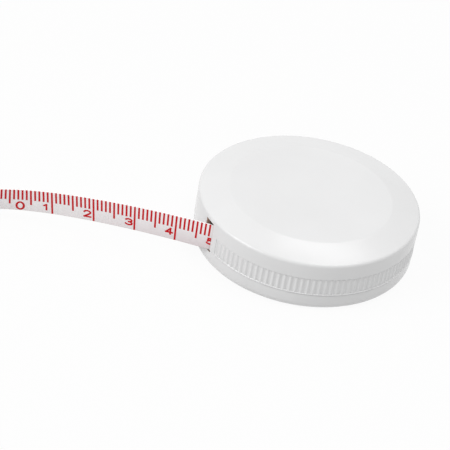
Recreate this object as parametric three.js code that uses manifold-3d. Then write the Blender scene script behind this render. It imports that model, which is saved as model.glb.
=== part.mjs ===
// Round retractable cloth tape measure, in millimetres, +Z up.
// The origin is at the centre of the flat underside, on the axis of the case. The tape leaves along -X.
import * as THREE from 'three';
import { mergeVertices } from 'three/addons/utils/BufferGeometryUtils.js';
import Module from 'manifold-3d';

const wasm = await Module();
wasm.setup();

// Driving dimensions of the case
const CASE_RADIUS = 26.5;
const WALL = 1.3;
const TOP_WALL = 1.2;
const FLOOR_WALL = 1.2;
const PLATEAU_RADIUS = 19.5;
const SHOULDER_DROP = 1.5;
const RIM_FILLET = 0.5;
const PARTING_GAP = 0.1;
const BOTTOM_ROUND = 1.9;
const LOWER_STEP = 0.1;
const LIP_HEIGHT = 1.35;
const LIP_WALL = 1.0;
const LIP_CLEARANCE = 0.1;

// Grip ribs round the upper cover, below a plain band
const RIB_COUNT = 120;
const RIB_DEPTH = 0.35;
const RIB_FOOT = 0.35;
const BAND_HEIGHT = 4.15;
const RIB_WIDTH_SHARE = 0.46;
const PLAIN_WALL_FRONT = 1.4;
const PLAIN_WALL_BACK = 20;

// Tape: how far it is out, and how it bows and leans outside the case
const TAPE_WIDTH = 7.0;
const TAPE_THICKNESS = 0.35;
const TAPE_OUT = 48.35;
const LEADER = 8.8;
const BOW_TURN = THREE.MathUtils.degToRad(20.8);
const BOW_LENGTH = 50;
const BOW_POWER = 4;
const LEAN = THREE.MathUtils.degToRad(13.2);
const TAPE_STEPS = 26;
const WINDING_GAP = 0.1;
const LEAD_GAP = 0.3;

// Mouth of the case, round the tape
const MOUTH_FRONT_GAP = 0.25;
const MOUTH_BACK_GAP = 1.8;
const MOUTH_LOW_GAP = 0.1;
const MOUTH_TOP_GAP = 0.45;

// End clip and its rivet
const CLIP_LENGTH = 7.0;
const CLIP_HEIGHT = 8.6;
const CLIP_SHEET = 0.35;
const CLIP_GAP = 0.15;
const CLIP_BACK = 0.5;
const CLIP_TABLE_GAP = 0.1;
const RIVET_RADIUS = 0.8;
const RIVET_HEAD_RADIUS = 1.7;
const RIVET_HEAD = 0.35;
const RIVET_CLEARANCE = 0.15;

// Reel: drum with its lower flange, upper flange, spring cover and mainspring
const WINDING_DEPTH = 4.72;
const FLANGE_CLEARANCE = 1.8;
const FLANGE_OVERHANG = 3.5;
const UPPER_FLANGE_STEP = 0.5;
const FLANGE_THICKNESS = 0.7;
const FLANGE_TAPE_GAP = 0.3;
const DRUM_WALL = 2.1;
const REBATE_STEP = 0.6;
const WEB_THICKNESS = 0.8;
const WEB_BELOW_TAPE = 0.9;
const COVER_THICKNESS = 0.8;
const MAINSPRING_NARROWER = 2.0;
const MAINSPRING_THICKNESS = 0.2;
const MAINSPRING_TURNS = 6;
const MAINSPRING_SIDE_GAP = 0.2;
const MAINSPRING_ARBOR_GAP = 0.6;
const MAINSPRING_DRUM_GAP = 0.5;
const HOOK_DEPTH = 0.9;
const HOOK_SLOT = 0.6;
const HOOK_GAP = 0.2;
const ANCHOR_RADIUS = 0.6;
const ANCHOR_CLEARANCE = 0.15;

// Arbor and the plate that holds it over the button
const PLATE_CLEARANCE = 0.68;
const PLATE_THICKNESS = 0.5;
const PEG_COUNT = 3;
const PEG_INSET = 1.3;
const PEG_RADIUS = 0.6;
const PEG_FOOT_RADIUS = 1.0;
const PEG_HOLE_CLEARANCE = 0.15;
const PEG_ROOT = 0.6;
const ARBOR_RADIUS = 3.0;
const ARBOR_SPIGOT_RADIUS = 2.5;
const ARBOR_RIM = 0.45;
const CLIP_RING_RADIUS = 4.8;
const CLIP_RING_THICKNESS = 0.3;
const CLIP_RING_GROOVE = 0.35;
const WASHER_RADIUS = 6.0;
const WASHER_THICKNESS = 0.2;

// Release button, its stem and the brake on top of the reel
const BUTTON_PEG_GAP = 0.35;
const BUTTON_CLEARANCE = 0.25;
const BUTTON_SKIN = 1.0;
const BUTTON_TRAVEL = 0.8;
const BUTTON_FLANGE = 1.3;
const BUTTON_FLANGE_THICKNESS = 0.5;
const BUTTON_WALL = 1.1;
const BUTTON_EDGE = 0.3;
const STEM_RADIUS = 1.6;
const STEM_CLEARANCE = 0.3;
const BRAKE_DISC_GAP = 1.0;
const BRAKE_DISC_THICKNESS = 0.8;
const BRAKE_PAD_RIM = 0.6;
const BRAKE_PAD_RING_GAP = 0.8;
const BRAKE_PAD_THICKNESS = 0.7;
const BRAKE_PAD_GAP = 0.1;
const HEADROOM = 0.35;
const SCREW_RADIUS = 0.45;
const SCREW_HEAD_RADIUS = 1.1;
const SCREW_HEAD = 0.35;
const SCREW_LENGTH = 3.6;
const SCREW_CLEARANCE = 0.1;
const SPRING_WIRE = 0.35;
const SPRING_TURNS = 2.5;
const SPRING_SMALL_RADIUS = 4.2;
const SPRING_SIDE_GAP = 1.1;

// General clearances and facet counts
const SEAT_GAP = 0.05;
const RUNNING_GAP = 0.08;
const OVERRUN = 1;
const OUTER_SEGMENTS = RIB_COUNT;
const SHELL_SEGMENTS = 60;
const HIDDEN_SEGMENTS = 48;
const BEARING_SEGMENTS = 36;
const SMALL_SEGMENTS = 20;
const FILLET_STEPS = 3;
const WIRE_SIDES = 6;
const MERGE_DISTANCE = 1e-4;
const TAU = 2 * Math.PI;

// Radii of the case, and of the reel in it. The winding between the core and the tape's line holds 1.45 m.
const INNER_RADIUS = CASE_RADIUS - WALL;
const LIP_RADIUS = INNER_RADIUS - LIP_CLEARANCE;
const FLANGE_RADIUS = LIP_RADIUS - LIP_WALL - FLANGE_CLEARANCE;
const UPPER_FLANGE_RADIUS = FLANGE_RADIUS - UPPER_FLANGE_STEP;
const TAPE_LINE = FLANGE_RADIUS - FLANGE_OVERHANG;
const WINDING_RADIUS = TAPE_LINE + TAPE_THICKNESS / 2;
const CORE_RADIUS = TAPE_LINE - WINDING_DEPTH;
const DRUM_INNER = CORE_RADIUS - DRUM_WALL;
const REBATE_RADIUS = DRUM_INNER + REBATE_STEP;
const BORE_RADIUS = ARBOR_RADIUS + RUNNING_GAP;
const ARBOR_BORE = STEM_RADIUS + STEM_CLEARANCE;

// Radii of what lies inside the core: plate, pegs, button, its spring and the brake
const PLATE_RADIUS = CORE_RADIUS - PLATE_CLEARANCE;
const PEG_CIRCLE = PLATE_RADIUS - PEG_INSET;
const BUTTON_FLANGE_RADIUS = PEG_CIRCLE - PEG_FOOT_RADIUS - BUTTON_PEG_GAP;
const BUTTON_BORE = BUTTON_FLANGE_RADIUS - BUTTON_FLANGE;
const BUTTON_RADIUS = BUTTON_BORE - BUTTON_CLEARANCE;
const SPRING_LARGE_RADIUS = BUTTON_RADIUS - BUTTON_WALL - SPRING_SIDE_GAP;
const BRAKE_DISC_RADIUS = REBATE_RADIUS - BRAKE_DISC_GAP;
const BRAKE_PAD_OUTER = BRAKE_DISC_RADIUS - BRAKE_PAD_RIM;
const BRAKE_PAD_INNER = CLIP_RING_RADIUS + BRAKE_PAD_RING_GAP;

// Heights, stacked from the underside up
const MAINSPRING_WIDTH = TAPE_WIDTH - MAINSPRING_NARROWER;
const FLANGE_STOP_Z = FLOOR_WALL + SEAT_GAP;
const BUTTON_TOP_Z = FLANGE_STOP_Z + BUTTON_FLANGE_THICKNESS;
const PLATE_Z = BUTTON_TOP_Z + BUTTON_TRAVEL + SEAT_GAP;
const WASHER_Z = PLATE_Z + PLATE_THICKNESS + SEAT_GAP;
const WEB_Z = WASHER_Z + WASHER_THICKNESS + SEAT_GAP;
const WEB_TOP_Z = WEB_Z + WEB_THICKNESS;
const MAINSPRING_Z = WEB_TOP_Z + MAINSPRING_SIDE_GAP;
const COVER_Z = MAINSPRING_Z + MAINSPRING_WIDTH + MAINSPRING_SIDE_GAP;
const COVER_TOP_Z = COVER_Z + COVER_THICKNESS;
const CLIP_RING_Z = COVER_TOP_Z + SEAT_GAP;
const ARBOR_TOP_Z = CLIP_RING_Z + CLIP_RING_THICKNESS + SEAT_GAP;
const PAD_Z = COVER_TOP_Z + BRAKE_PAD_GAP;
const DISC_Z = PAD_Z + BRAKE_PAD_THICKNESS + SEAT_GAP;
const DISC_TOP_Z = DISC_Z + BRAKE_DISC_THICKNESS;
const TAPE_Z = WEB_Z + WEB_BELOW_TAPE;
const TAPE_MIDDLE_Z = TAPE_Z + TAPE_WIDTH / 2;
const LOWER_FLANGE_TOP_Z = TAPE_Z - FLANGE_TAPE_GAP;
const DRUM_TOP_Z = TAPE_Z + TAPE_WIDTH + FLANGE_TAPE_GAP;

// Heights of the case round them
const CEILING_Z = DISC_TOP_Z + BUTTON_TRAVEL + HEADROOM;
const CASE_HEIGHT = CEILING_Z + TOP_WALL;
const RIM_Z = CASE_HEIGHT - SHOULDER_DROP;
const RIB_TOP_Z = RIM_Z - BAND_HEIGHT;

// The covers part at the lower edge of the mouth, so that the tape can be laid in before they are closed
const LOWER_Z = TAPE_Z - MOUTH_LOW_GAP;
const UPPER_Z = LOWER_Z + PARTING_GAP;

// Mouth, where the tape's line crosses the wall
const MOUTH_FRONT = -(TAPE_LINE + TAPE_THICKNESS / 2 + MOUTH_FRONT_GAP);
const MOUTH_BACK = -(TAPE_LINE - TAPE_THICKNESS / 2 - MOUTH_BACK_GAP);
const MOUTH_X = -Math.sqrt(CASE_RADIUS ** 2 - TAPE_LINE ** 2);

// Materials
function finish(color, roughness, metalness = 0) {
  return new THREE.MeshStandardMaterial({ color, roughness, metalness });
}
const whiteShell = finish(0xf2f2f3, 0.35);
const whiteButton = finish(0xeeeef0, 0.4);
const tapeCloth = finish(0xf1e9ec, 0.6);
const reelPlastic = finish(0xd9d8d2, 0.5);
const springSteel = finish(0x8d8f94, 0.3, 1);
const plateSteel = finish(0xb9bbbf, 0.35, 1);
const nickel = finish(0xc9c9c6, 0.28, 1);
const acetal = finish(0xe6e3d8, 0.45);
const feltPad = finish(0x4a4644, 0.95);

const object = new THREE.Group();
object.name = 'cloth_tape_measure';

function add(name, geometry, material, parent = object) {
  const mesh = new THREE.Mesh(geometry, material);
  mesh.name = name;
  parent.add(mesh);
  return mesh;
}

// Booleans on closed meshes
function toSolid(geometry) {
  const bare = geometry.clone();
  bare.deleteAttribute('normal');
  bare.deleteAttribute('uv');
  const merged = mergeVertices(bare, MERGE_DISTANCE);
  const source = merged.index.array;
  const kept = [];
  for (let i = 0; i < source.length; i += 3) {
    const [a, b, c] = [source[i], source[i + 1], source[i + 2]];
    if (a !== b && b !== c && c !== a) kept.push(a, b, c);
  }
  return new wasm.Manifold(new wasm.Mesh({
    numProp: 3,
    vertProperties: new Float32Array(merged.attributes.position.array),
    triVerts: new Uint32Array(kept),
  }));
}

function toGeometry(solid) {
  const { vertProperties, triVerts } = solid.getMesh();
  const geometry = new THREE.BufferGeometry();
  geometry.setAttribute('position', new THREE.BufferAttribute(new Float32Array(vertProperties), 3));
  geometry.setIndex(new THREE.BufferAttribute(new Uint32Array(triVerts), 1));
  return geometry;
}

function cut(body, ...tools) {
  return tools.reduce((solid, tool) => solid.subtract(toSolid(tool)), toSolid(body));
}

// Solid of revolution about Z from [radius, z] points, taken anticlockwise
function turned(points, segments) {
  const onAxis = points[0][0] === 0;
  const profile = (onAxis ? points : [...points, points[0]]).map(([r, z]) => new THREE.Vector2(r, z));
  return new THREE.LatheGeometry(profile, segments).rotateX(Math.PI / 2);
}

function disc(radius, z0, z1, segments) {
  return turned([[0, z0], [radius, z0], [radius, z1], [0, z1]], segments);
}

function washer(inner, outer, z0, z1, segments) {
  return turned([[inner, z0], [outer, z0], [outer, z1], [inner, z1]], segments);
}

function block(x0, x1, y0, y1, z0, z1) {
  return new THREE.BoxGeometry(x1 - x0, y1 - y0, z1 - z0)
    .translate((x0 + x1) / 2, (y0 + y1) / 2, (z0 + z1) / 2);
}

function arc(radius0, z0, radius, from, to, steps) {
  return Array.from({ length: steps + 1 }, (_, i) => {
    const angle = from + ((to - from) * i) / steps;
    return [radius0 + radius * Math.cos(angle), z0 + radius * Math.sin(angle)];
  });
}

function polar(radius, angle) {
  return new THREE.Vector2(radius * Math.cos(angle), radius * Math.sin(angle));
}

function circle(radius, sides) {
  return Array.from({ length: sides }, (_, i) => polar(radius, (TAU * i) / sides));
}

function extruded(shape, z0, z1) {
  return new THREE.ExtrudeGeometry(shape, { depth: z1 - z0, bevelEnabled: false }).translate(0, 0, z0);
}

// Angle round the case of the middle of the mouth. The wall stays plain for a short way in front of it
// and for a long way behind it.
const mouthAngle = Math.atan2((MOUTH_FRONT + MOUTH_BACK) / 2, MOUTH_X);
const mouthHalfChord = (MOUTH_BACK - MOUTH_FRONT) / Math.abs(Math.cos(mouthAngle)) / 2;
const plainFrontAngle = (mouthHalfChord + PLAIN_WALL_FRONT) / CASE_RADIUS;
const plainBackAngle = (mouthHalfChord + PLAIN_WALL_BACK) / CASE_RADIUS;

function hasRibs(angle) {
  const away = Math.atan2(Math.sin(angle - mouthAngle), Math.cos(angle - mouthAngle));
  return away > plainFrontAngle || away < -plainBackAngle;
}

// Ring with inward teeth that cuts the gaps between the grip ribs
function ribCutter() {
  const ring = new THREE.Shape();
  ring.absarc(0, 0, CASE_RADIUS + OVERRUN, 0, TAU);
  const teeth = [];
  const pitch = TAU / RIB_COUNT;
  const half = (pitch * (1 - RIB_WIDTH_SHARE)) / 2;
  const clear = CASE_RADIUS + OVERRUN / 2;
  const floor = CASE_RADIUS - RIB_DEPTH;
  for (let i = 0; i < RIB_COUNT; i += 1) {
    const middle = i * pitch;
    if (hasRibs(middle)) {
      teeth.push(polar(clear, middle - half), polar(floor, middle - half));
      teeth.push(polar(floor, middle + half), polar(clear, middle + half));
    } else {
      teeth.push(polar(clear, middle));
    }
  }
  ring.holes.push(new THREE.Path(teeth));
  return extruded(ring, UPPER_Z + RIB_FOOT, RIB_TOP_Z);
}

function mouthCutter() {
  const lipInner = LIP_RADIUS - LIP_WALL;
  const wallEnd = -Math.sqrt(lipInner ** 2 - MOUTH_FRONT ** 2);
  return block(
    -(CASE_RADIUS + OVERRUN), wallEnd + OVERRUN,
    MOUTH_FRONT, MOUTH_BACK,
    LOWER_Z, TAPE_Z + TAPE_WIDTH + MOUTH_TOP_GAP,
  );
}

// Upper cover: flat plateau, sloping shoulder, crisp rim and ribbed wall
function upperCover() {
  const filletRadius = CASE_RADIUS - RIM_FILLET;
  const fillet = arc(filletRadius, RIM_Z - RIM_FILLET, RIM_FILLET, 0, Math.PI / 2, FILLET_STEPS);
  const skin = turned([
    [0, UPPER_Z],
    [CASE_RADIUS, UPPER_Z],
    ...fillet,
    [PLATEAU_RADIUS, CASE_HEIGHT],
    [0, CASE_HEIGHT],
  ], OUTER_SEGMENTS);
  const hollow = turned([
    [0, UPPER_Z - OVERRUN],
    [INNER_RADIUS, UPPER_Z - OVERRUN],
    [INNER_RADIUS, CEILING_Z - SHOULDER_DROP],
    [PLATEAU_RADIUS, CEILING_Z],
    [0, CEILING_Z],
  ], SHELL_SEGMENTS);
  return cut(skin, hollow, ribCutter(), mouthCutter());
}

// Lower cover: floor with the button's bore, rounded edge, spigot lip and pegs for the arbor plate
function pegs() {
  const footTop = PLATE_Z - SEAT_GAP;
  const profile = [
    [0, FLOOR_WALL - PEG_ROOT],
    [PEG_FOOT_RADIUS, FLOOR_WALL - PEG_ROOT],
    [PEG_FOOT_RADIUS, footTop],
    [PEG_RADIUS, footTop],
    [PEG_RADIUS, PLATE_Z + PLATE_THICKNESS],
    [0, PLATE_Z + PLATE_THICKNESS],
  ];
  return Array.from({ length: PEG_COUNT }, (_, i) => {
    const place = polar(PEG_CIRCLE, (TAU * i) / PEG_COUNT);
    return turned(profile, SMALL_SEGMENTS).translate(place.x, place.y, 0);
  });
}

function lowerCover() {
  const radius = CASE_RADIUS - LOWER_STEP;
  const edge = arc(radius - BOTTOM_ROUND, BOTTOM_ROUND, BOTTOM_ROUND, -Math.PI / 2, 0, FILLET_STEPS + 1);
  const shell = cut(turned([
    [BUTTON_BORE, 0],
    ...edge,
    [radius, LOWER_Z],
    [LIP_RADIUS, LOWER_Z],
    [LIP_RADIUS, LOWER_Z + LIP_HEIGHT],
    [LIP_RADIUS - LIP_WALL, LOWER_Z + LIP_HEIGHT],
    [LIP_RADIUS - LIP_WALL, FLOOR_WALL],
    [BUTTON_BORE, FLOOR_WALL],
  ], SHELL_SEGMENTS), mouthCutter());
  return pegs().reduce((solid, peg) => solid.add(toSolid(peg)), shell);
}

// Release button with its retaining flange and the stem that runs up through the arbor
function releaseButton() {
  const screwHole = SCREW_RADIUS + SCREW_CLEARANCE;
  return turned([
    [0, 0],
    [BUTTON_RADIUS - BUTTON_EDGE, 0],
    [BUTTON_RADIUS, BUTTON_EDGE],
    [BUTTON_RADIUS, FLANGE_STOP_Z],
    [BUTTON_FLANGE_RADIUS, FLANGE_STOP_Z],
    [BUTTON_FLANGE_RADIUS, BUTTON_TOP_Z],
    [BUTTON_RADIUS - BUTTON_WALL, BUTTON_TOP_Z],
    [BUTTON_RADIUS - BUTTON_WALL, BUTTON_SKIN],
    [STEM_RADIUS, BUTTON_SKIN],
    [STEM_RADIUS, DISC_Z - SEAT_GAP],
    [screwHole, DISC_Z - SEAT_GAP],
    [screwHole, DISC_Z - SCREW_LENGTH],
    [0, DISC_Z - SCREW_LENGTH],
  ], HIDDEN_SEGMENTS);
}

// Conical coil spring between the button and the arbor plate
function buttonSpring() {
  const low = BUTTON_SKIN + SEAT_GAP + SPRING_WIRE / 2;
  const high = PLATE_Z - SEAT_GAP - SPRING_WIRE / 2;
  const stepsPerTurn = 16;
  const count = Math.round(SPRING_TURNS * stepsPerTurn);
  const points = Array.from({ length: count + 1 }, (_, i) => {
    const share = i / count;
    const radius = SPRING_LARGE_RADIUS + (SPRING_SMALL_RADIUS - SPRING_LARGE_RADIUS) * share;
    const place = polar(radius, share * SPRING_TURNS * TAU);
    return new THREE.Vector3(place.x, place.y, low + (high - low) * share);
  });
  const wire = new THREE.Shape(circle(SPRING_WIRE / 2, WIRE_SIDES));
  const path = new THREE.CatmullRomCurve3(points);
  return new THREE.ExtrudeGeometry(wire, { steps: count, bevelEnabled: false, extrudePath: path });
}

function brakeDisc() {
  const hole = SCREW_RADIUS + SCREW_CLEARANCE;
  const sink = SCREW_HEAD_RADIUS + SCREW_CLEARANCE;
  const seat = DISC_TOP_Z - SCREW_HEAD - SEAT_GAP;
  return turned([
    [hole, DISC_Z],
    [BRAKE_DISC_RADIUS, DISC_Z],
    [BRAKE_DISC_RADIUS, DISC_TOP_Z],
    [sink, DISC_TOP_Z],
    [sink, seat],
    [hole, seat],
  ], HIDDEN_SEGMENTS);
}

function stemScrew() {
  const headZ = DISC_TOP_Z - SCREW_HEAD;
  return turned([
    [0, DISC_Z - SCREW_LENGTH + SEAT_GAP],
    [SCREW_RADIUS, DISC_Z - SCREW_LENGTH + SEAT_GAP],
    [SCREW_RADIUS, headZ],
    [SCREW_HEAD_RADIUS, headZ],
    [SCREW_HEAD_RADIUS, DISC_TOP_Z],
    [0, DISC_TOP_Z],
  ], SMALL_SEGMENTS);
}

// Steel plate that bridges the button and carries the arbor
function arborPlate() {
  const holes = Array.from({ length: PEG_COUNT }, (_, i) => {
    const place = polar(PEG_CIRCLE, (TAU * i) / PEG_COUNT);
    return disc(PEG_RADIUS + PEG_HOLE_CLEARANCE, PLATE_Z - OVERRUN, PLATE_Z + PLATE_THICKNESS + OVERRUN,
      SMALL_SEGMENTS).translate(place.x, place.y, 0);
  });
  return cut(washer(ARBOR_SPIGOT_RADIUS + SEAT_GAP, PLATE_RADIUS, PLATE_Z, PLATE_Z + PLATE_THICKNESS,
    HIDDEN_SEGMENTS), ...holes);
}

// Hollow arbor: spigot in the plate, bearing for the reel, groove for the clip ring
// and slot for the mainspring's inner hook
function arbor() {
  const seat = PLATE_Z + PLATE_THICKNESS + SEAT_GAP;
  const grooveRadius = ARBOR_RADIUS - CLIP_RING_GROOVE;
  const tube = turned([
    [ARBOR_BORE, PLATE_Z],
    [ARBOR_SPIGOT_RADIUS, PLATE_Z],
    [ARBOR_SPIGOT_RADIUS, seat],
    [ARBOR_RADIUS, seat],
    [ARBOR_RADIUS, CLIP_RING_Z - SEAT_GAP],
    [grooveRadius, CLIP_RING_Z - SEAT_GAP],
    [grooveRadius, ARBOR_TOP_Z],
    [ARBOR_RADIUS, ARBOR_TOP_Z],
    [ARBOR_RADIUS - ARBOR_RIM / 2, ARBOR_TOP_Z + ARBOR_RIM],
    [ARBOR_BORE, ARBOR_TOP_Z + ARBOR_RIM],
  ], BEARING_SEGMENTS);
  const slot = block(ARBOR_RADIUS - HOOK_DEPTH, ARBOR_RADIUS + OVERRUN, -HOOK_SLOT / 2, HOOK_SLOT / 2,
    MAINSPRING_Z - MAINSPRING_SIDE_GAP, COVER_Z);
  return cut(tube, slot);
}

// Drum with its web and lower flange. A slot takes the mainspring's outer hook,
// and a groove takes the tape's anchor pin.
const hookAngle = TAU * MAINSPRING_TURNS;
const anchorAngle = Math.PI;
const anchorPlace = polar(CORE_RADIUS - ANCHOR_RADIUS, anchorAngle);

function reelHub() {
  const flangeZ = LOWER_FLANGE_TOP_Z - FLANGE_THICKNESS;
  const body = turned([
    [BORE_RADIUS, WEB_Z],
    [CORE_RADIUS, WEB_Z],
    [CORE_RADIUS, flangeZ],
    [FLANGE_RADIUS, flangeZ],
    [FLANGE_RADIUS, LOWER_FLANGE_TOP_Z],
    [CORE_RADIUS, LOWER_FLANGE_TOP_Z],
    [CORE_RADIUS, DRUM_TOP_Z],
    [REBATE_RADIUS, DRUM_TOP_Z],
    [REBATE_RADIUS, COVER_Z - SEAT_GAP],
    [DRUM_INNER, COVER_Z - SEAT_GAP],
    [DRUM_INNER, WEB_TOP_Z],
    [BORE_RADIUS, WEB_TOP_Z],
  ], HIDDEN_SEGMENTS);
  const slot = block(DRUM_INNER - OVERRUN / 2, DRUM_INNER + HOOK_DEPTH, -HOOK_SLOT / 2, HOOK_SLOT / 2,
    WEB_TOP_Z, COVER_Z);
  const grooveRadius = ANCHOR_RADIUS + ANCHOR_CLEARANCE;
  const groove = disc(grooveRadius, LOWER_FLANGE_TOP_Z, DRUM_TOP_Z + OVERRUN, SMALL_SEGMENTS)
    .translate(anchorPlace.x, anchorPlace.y, 0);
  return cut(body, slot.rotateZ(hookAngle), groove);
}

// Flat spiral spring from the arbor to the drum, hooked at both ends
function mainspring() {
  const start = ARBOR_RADIUS + MAINSPRING_ARBOR_GAP;
  const end = DRUM_INNER - MAINSPRING_DRUM_GAP;
  const stepsPerTurn = 24;
  const count = MAINSPRING_TURNS * stepsPerTurn;
  const half = MAINSPRING_THICKNESS / 2;
  const side = (offset) => Array.from({ length: count + 1 }, (_, i) => {
    const share = i / count;
    return polar(start + (end - start) * share + offset, share * TAU * MAINSPRING_TURNS);
  });
  const hookIn = ARBOR_RADIUS - HOOK_DEPTH + HOOK_GAP;
  const hookOut = DRUM_INNER + HOOK_DEPTH - HOOK_GAP;
  const outline = [
    ...side(half).slice(0, -1),
    new THREE.Vector2(end + half, -half),
    new THREE.Vector2(hookOut, -half),
    new THREE.Vector2(hookOut, half),
    new THREE.Vector2(end - half, half),
    ...side(-half).slice(1, -1).reverse(),
    new THREE.Vector2(start - half, half),
    new THREE.Vector2(hookIn, half),
    new THREE.Vector2(hookIn, -half),
    new THREE.Vector2(start + half, -half),
  ];
  return extruded(new THREE.Shape(outline), MAINSPRING_Z, MAINSPRING_Z + MAINSPRING_WIDTH);
}

// Wound tape: a ring whose outer edge is one spiral turn that steps down where the free tape leaves it
function tapeWinding() {
  const leave = -Math.PI / 2;
  const ring = new THREE.Shape(Array.from({ length: HIDDEN_SEGMENTS + 1 }, (_, i) => {
    const share = i / HIDDEN_SEGMENTS;
    return polar(WINDING_RADIUS - TAPE_THICKNESS * share, leave + TAU * share);
  }));
  ring.holes.push(new THREE.Path(circle(CORE_RADIUS + WINDING_GAP, HIDDEN_SEGMENTS)));
  return extruded(ring, TAPE_Z, TAPE_Z + TAPE_WIDTH);
}

// Route of the free tape: s is its length from the mouth, where it runs level along -X. It stands on its edge
// and droops gently, so that the clip on its end comes down to the table.
const CLIP_START = TAPE_OUT + LEADER;
const CLIP_MIDDLE = CLIP_START + CLIP_LENGTH / 2;
const DROOP = TAPE_Z - (CLIP_HEIGHT - TAPE_WIDTH) / 2 - CLIP_TABLE_GAP;
const DROOP_LENGTH = CLIP_START + CLIP_LENGTH;

function headingAt(s) {
  return BOW_TURN * THREE.MathUtils.clamp(s / BOW_LENGTH, 0, 1) ** BOW_POWER;
}

// Place and frame of the tape's centre line: forward, edge direction (up at the mouth) and face normal
function tapeFrame(s) {
  const outside = Math.max(s, 0);
  const phase = (Math.PI * outside) / DROOP_LENGTH;
  const slope = ((DROOP / 2) * Math.PI * Math.sin(phase)) / DROOP_LENGTH;
  const fall = (DROOP / 2) * (1 - Math.cos(phase));
  const place = new THREE.Vector3(MOUTH_X, -TAPE_LINE, TAPE_MIDDLE_Z - fall);
  const pieces = 48;
  for (let i = 0; i < pieces; i += 1) {
    const heading = headingAt((s * (i + 0.5)) / pieces);
    place.x -= (Math.cos(heading) * s) / pieces;
    place.y -= (Math.sin(heading) * s) / pieces;
  }
  const heading = headingAt(s);
  const forward = new THREE.Vector3(-Math.cos(heading), -Math.sin(heading), -slope).normalize();
  const side = new THREE.Vector3(Math.sin(heading), -Math.cos(heading), 0);
  const level = new THREE.Vector3().crossVectors(side, forward).multiplyScalar(-1);
  const lean = (LEAN * outside) / BOW_LENGTH;
  const up = level.multiplyScalar(Math.cos(lean)).addScaledVector(side, Math.sin(lean)).normalize();
  const face = new THREE.Vector3().crossVectors(up, forward).normalize();
  return { place, forward, up, face };
}

// Strip of tape between two lengths along the route
function strip(lengths, width, thickness) {
  const positions = [];
  const index = [];
  const cornerShares = [[-0.5, -0.5], [-0.5, 0.5], [0.5, 0.5], [0.5, -0.5]];
  lengths.forEach((s) => {
    const { place, up, face } = tapeFrame(s);
    cornerShares.forEach(([across, through]) => {
      const corner = place.clone()
        .addScaledVector(up, width * across)
        .addScaledVector(face, thickness * through);
      positions.push(corner.x, corner.y, corner.z);
    });
  });
  const corners = cornerShares.length;
  for (let i = 0; i < lengths.length - 1; i += 1) {
    for (let j = 0; j < corners; j += 1) {
      const a = i * corners + j;
      const b = i * corners + ((j + 1) % corners);
      index.push(a, b, b + corners, a, b + corners, a + corners);
    }
  }
  const last = (lengths.length - 1) * corners;
  index.push(0, 2, 1, 0, 3, 2, last, last + 1, last + 2, last, last + 2, last + 3);
  const geometry = new THREE.BufferGeometry();
  geometry.setAttribute('position', new THREE.Float32BufferAttribute(positions, 3));
  geometry.setIndex(index);
  return geometry;
}

// The clip and rivet are made about the tape's middle, with X outwards along the tape and Z up across it
const clipFrame = tapeFrame(CLIP_MIDDLE);
const clipGroup = new THREE.Group();
clipGroup.position.copy(clipFrame.place);
clipGroup.quaternion.setFromRotationMatrix(new THREE.Matrix4().makeBasis(
  clipFrame.forward,
  new THREE.Vector3().crossVectors(clipFrame.up, clipFrame.forward),
  clipFrame.up,
));
clipGroup.updateMatrix();

function rivetShank(radius, halfLength) {
  return new THREE.CylinderGeometry(radius, radius, halfLength * 2, SMALL_SEGMENTS);
}

function tapeLead() {
  const inside = MOUTH_X + LEAD_GAP;
  const end = CLIP_START + CLIP_LENGTH - CLIP_BACK - CLIP_GAP;
  const outside = Array.from({ length: TAPE_STEPS + 1 }, (_, i) => (end * i) / TAPE_STEPS);
  const hole = rivetShank(RIVET_RADIUS + RIVET_CLEARANCE, TAPE_THICKNESS + OVERRUN)
    .applyMatrix4(clipGroup.matrix);
  return cut(strip([inside, inside / 2, ...outside], TAPE_WIDTH, TAPE_THICKNESS), hole);
}

// Folded sheet clip, closed at the outer end, round the end of the tape
function endClip() {
  const halfLength = CLIP_LENGTH / 2;
  const halfHeight = CLIP_HEIGHT / 2;
  const halfSlot = TAPE_THICKNESS / 2 + CLIP_GAP;
  const outer = halfSlot + CLIP_SHEET;
  const fold = new THREE.Shape();
  fold.moveTo(-halfLength, halfSlot);
  fold.lineTo(-halfLength, outer);
  fold.lineTo(halfLength - outer, outer);
  fold.absarc(halfLength - outer, 0, outer, Math.PI / 2, -Math.PI / 2, true);
  fold.lineTo(-halfLength, -outer);
  fold.lineTo(-halfLength, -halfSlot);
  fold.lineTo(halfLength - CLIP_BACK, -halfSlot);
  fold.lineTo(halfLength - CLIP_BACK, halfSlot);
  const sheet = extruded(fold, -halfHeight, halfHeight);
  return cut(sheet, rivetShank(RIVET_RADIUS + SEAT_GAP, outer + OVERRUN));
}

function clipRivet() {
  const reach = TAPE_THICKNESS / 2 + CLIP_GAP + CLIP_SHEET + SEAT_GAP;
  const profile = [
    [0, -reach - RIVET_HEAD],
    [RIVET_RADIUS, -reach - RIVET_HEAD],
    [RIVET_HEAD_RADIUS, -reach - RIVET_HEAD / 2],
    [RIVET_HEAD_RADIUS, -reach],
    [RIVET_RADIUS, -reach],
    [RIVET_RADIUS, reach],
    [RIVET_HEAD_RADIUS, reach],
    [RIVET_HEAD_RADIUS, reach + RIVET_HEAD / 2],
    [RIVET_RADIUS, reach + RIVET_HEAD],
    [0, reach + RIVET_HEAD],
  ];
  return turned(profile, SMALL_SEGMENTS).rotateX(Math.PI / 2);
}

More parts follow.
